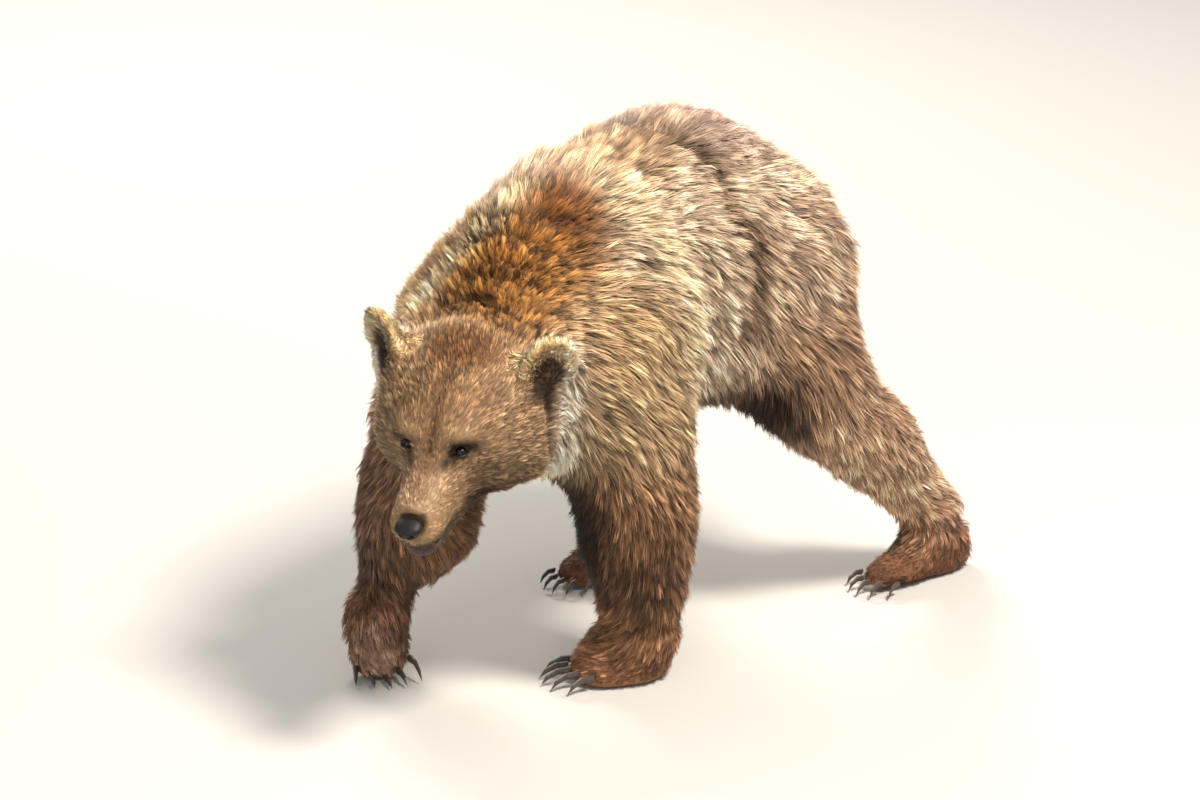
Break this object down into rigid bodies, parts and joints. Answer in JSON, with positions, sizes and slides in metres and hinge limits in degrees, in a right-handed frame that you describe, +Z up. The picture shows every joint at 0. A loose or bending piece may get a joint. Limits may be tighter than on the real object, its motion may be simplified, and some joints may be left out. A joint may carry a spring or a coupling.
{
  "type": "brown bear model",
  "caption": "Life-size brown bear standing in mid-stride with its head low, thick coat, small round ears and long claws; a still figure for a museum floor.",
  "frame": {"origin": "on the floor, in the middle of the bear's outer box seen from above", "axes": "+X forward along the trunk, from rump to head; +Y to the bear's own left; +Z up"},
  "size_m": [1.5464, 0.7176, 1.0208],
  "materials": {
    "coat": "long golden brown fur",
    "leg_coat": "shorter dark brown fur",
    "claw_horn": "dull grey-brown horn",
    "nose_skin": "damp pebbled black skin",
    "eye": "wet dark brown"
  },
  "bodies": {
    "root": {"claw_fore_left_1": "claw_horn", "claw_fore_left_2": "claw_horn", "claw_fore_left_3": "claw_horn", "claw_fore_left_4": "claw_horn", "claw_fore_left_5": "claw_horn", "claw_fore_right_1": "claw_horn", "claw_fore_right_2": "claw_horn", "claw_fore_right_3": "claw_horn", "claw_fore_right_4": "claw_horn", "claw_fore_right_5": "claw_horn", "claw_hind_left_1": "claw_horn", "claw_hind_left_2": "claw_horn", "claw_hind_left_3": "claw_horn", "claw_hind_left_4": "claw_horn", "claw_hind_left_5": "claw_horn", "claw_hind_right_1": "claw_horn", "claw_hind_right_2": "claw_horn", "claw_hind_right_3": "claw_horn", "claw_hind_right_4": "claw_horn", "claw_hind_right_5": "claw_horn", "ear_left": "coat", "ear_right": "coat", "eye_left": "eye", "eye_right": "eye", "foreleg_left_lower": "leg_coat", "foreleg_left_upper": "coat", "foreleg_right_lower": "leg_coat", "foreleg_right_upper": "coat", "forepaw_left": "leg_coat", "forepaw_right": "leg_coat", "head": "coat", "hindfoot_left": "leg_coat", "hindfoot_right": "leg_coat", "jaw": "coat", "neck": "coat", "nose": "nose_skin", "shank_left": "leg_coat", "shank_right": "leg_coat", "tail": "coat", "thigh_left": "coat", "thigh_right": "coat", "trunk": "coat"}
  },
  "joints": []
}
